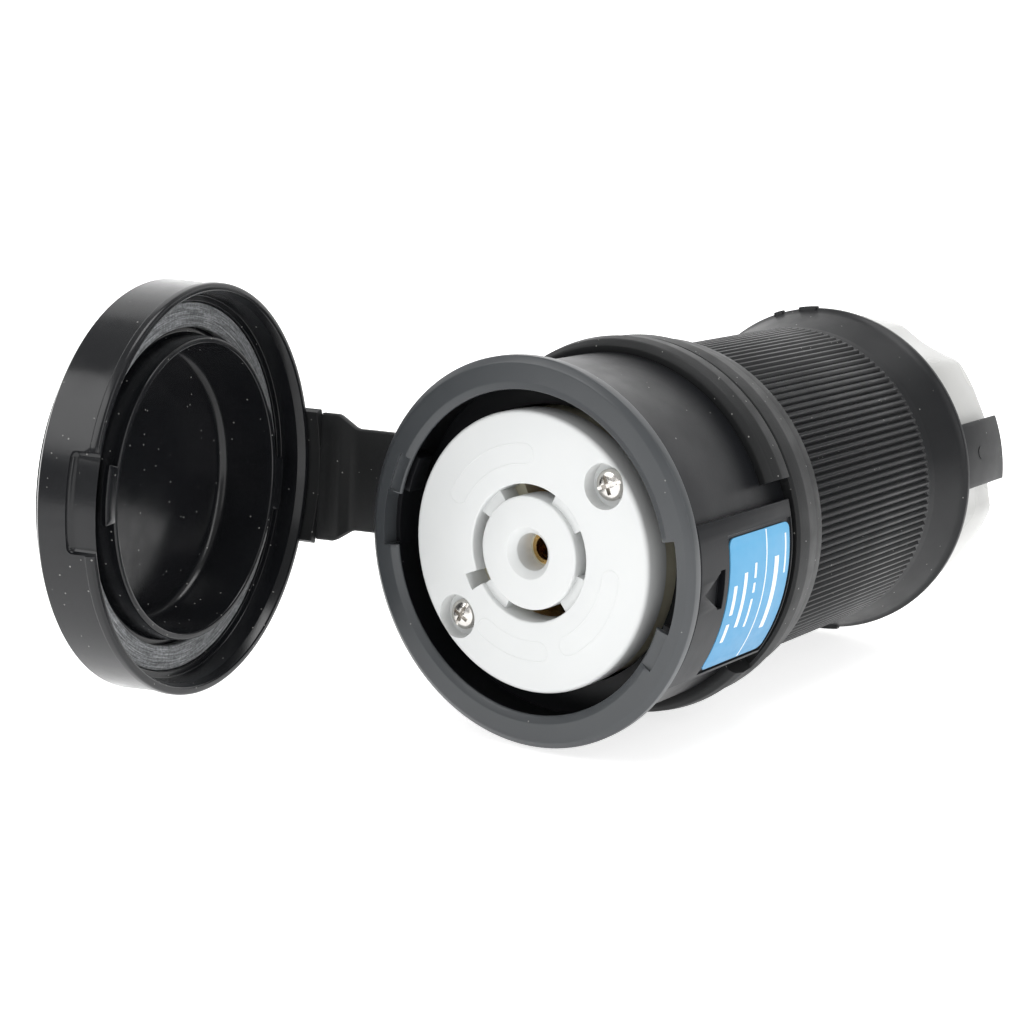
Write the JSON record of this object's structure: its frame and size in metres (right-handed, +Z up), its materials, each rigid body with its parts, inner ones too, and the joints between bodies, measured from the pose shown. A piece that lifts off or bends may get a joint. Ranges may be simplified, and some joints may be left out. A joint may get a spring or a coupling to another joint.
{
  "type": "locking cord connector",
  "caption": "Round watertight locking cord connector: white contact face, black shroud, ribbed rubber grip, white cord nut and a closure cap on a rubber strap.",
  "frame": {"origin": "centre of the white mating face, at the mouth of the centre pin bore", "axes": "Y along the connector, -Y out of the mating face, +Y to the cord, +Z up, +X to the label side"},
  "size_m": [0.1215, 0.2005, 0.0876],
  "materials": {
    "black_shell": "moulded satin",
    "cap_black": "moulded gloss",
    "black_rubber": "soft matte",
    "white_nylon": "moulded gloss",
    "cream_nylon": "moulded",
    "contact_brass": "bright",
    "nickel_steel": "nickel plated",
    "label_film": "printed film",
    "gasket_grey": "foam rubber"
  },
  "bodies": {
    "connector": {"front_shroud": "black_shell", "rating_label": "label_film", "rubber_collar": "black_rubber", "grip_sleeve": "black_rubber", "housing_seal": "gasket_grey", "inner_housing": "black_shell", "screw_bosses": "black_shell", "mating_face": "white_nylon", "contact_carrier": "cream_nylon", "blade_contact_top": "contact_brass", "blade_contact_left": "contact_brass", "blade_contact_bottom": "contact_brass", "blade_contact_right": "contact_brass", "centre_contact": "contact_brass", "terminal_screws": "contact_brass", "pressure_plates": "contact_brass", "wire_barrier": "cream_nylon", "face_screws": "nickel_steel", "cord_grommet": "black_rubber", "cord_fingers": "white_nylon", "strap_tail": "black_rubber"},
    "strap": {"strap_band": "black_rubber"},
    "strap_end": {"strap_ring": "black_rubber"},
    "cap": {"closure_cap": "cap_black", "cap_gasket": "gasket_grey"},
    "gland": {"thrust_washer": "cream_nylon"},
    "nut": {"cord_nut": "white_nylon"}
  },
  "joints": [
    {"name": "cap_swing", "type": "hinge", "parent": "connector", "child": "strap", "pos_m": [-0.04317, 0.02425, 0.00504], "axis": [0.1129, 0.1057, 0.988], "range_deg": [-75, 76.86], "stiffness_Nm_per_rad": 0.02, "deforming": ["strap_band"]},
    {"name": "cap_seat", "type": "slide", "parent": "strap", "child": "strap_end", "axis": [0.9713, 0.236, -0.0292], "range_m": [0, 0.0058], "stiffness_N_per_m": 200},
    {"name": "cap_lock", "type": "hinge", "parent": "strap_end", "child": "cap", "pos_m": [-0.05883, -0.02416, 0.00904], "axis": [0.9713, 0.236, -0.0292], "range_deg": [0, 22]},
    {"name": "nut_travel", "type": "slide", "parent": "connector", "child": "gland", "axis": [0, 1, 0], "range_m": [0, 0.008]},
    {"name": "nut_turn", "type": "hinge", "parent": "gland", "child": "nut", "pos_m": [0, 0.124, 0], "axis": [0, 1, 0], "range_deg": [0, 720]}
  ],
  "couplings": [
    {"joint": "nut_travel", "follows": "nut_turn", "m_per_rad": 0.00063662}
  ]
}
